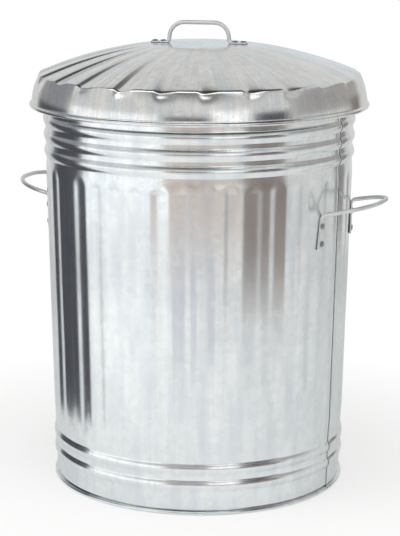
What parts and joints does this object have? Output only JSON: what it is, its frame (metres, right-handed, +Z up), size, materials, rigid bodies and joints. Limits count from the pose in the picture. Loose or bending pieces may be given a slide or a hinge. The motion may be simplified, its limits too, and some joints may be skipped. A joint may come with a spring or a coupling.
{
  "type": "galvanised dustbin with lid",
  "caption": "Round tapered galvanised steel bin with a fluted wall, swaged beads, two wire side handles and a fluted lift-off lid with a wire handle.",
  "frame": {"origin": "centre of the circle on which the foot rim of the bin stands", "axes": "+Z up through the lid handle; -Y is the front of the bin; the side seam is 27 degrees from +X towards -Y, and the middle of the right handle 22.7 degrees"},
  "size_m": [0.5544, 0.5074, 0.6912],
  "materials": {
    "galvanised_sheet": "hot-dip galvanised sheet, bright with a faint spangle",
    "lid_sheet": "hot-dip galvanised sheet, pressed and streaked",
    "galvanised_wire": "hot-dip galvanised wire, satin",
    "rivet_steel": "galvanised rivet, satin"
  },
  "bodies": {
    "bin": {"body_shell": "galvanised_sheet", "base_pan": "galvanised_sheet", "right_handle": "galvanised_wire", "left_handle": "galvanised_wire", "right_handle_front_upper_rivet": "rivet_steel", "right_handle_front_lower_rivet": "rivet_steel", "right_handle_rear_upper_rivet": "rivet_steel", "right_handle_rear_lower_rivet": "rivet_steel", "left_handle_front_upper_rivet": "rivet_steel", "left_handle_front_lower_rivet": "rivet_steel", "left_handle_rear_upper_rivet": "rivet_steel", "left_handle_rear_lower_rivet": "rivet_steel"},
    "lid": {"lid_shell": "lid_sheet", "lid_handle": "galvanised_wire", "lid_handle_left_inner_rivet": "rivet_steel", "lid_handle_left_outer_rivet": "rivet_steel", "lid_handle_right_inner_rivet": "rivet_steel", "lid_handle_right_outer_rivet": "rivet_steel"}
  },
  "joints": [
    {"name": "lid_lift", "type": "slide", "parent": "bin", "child": "lid", "axis": [0, 0, 1], "range_m": [0, 0.3]}
  ]
}
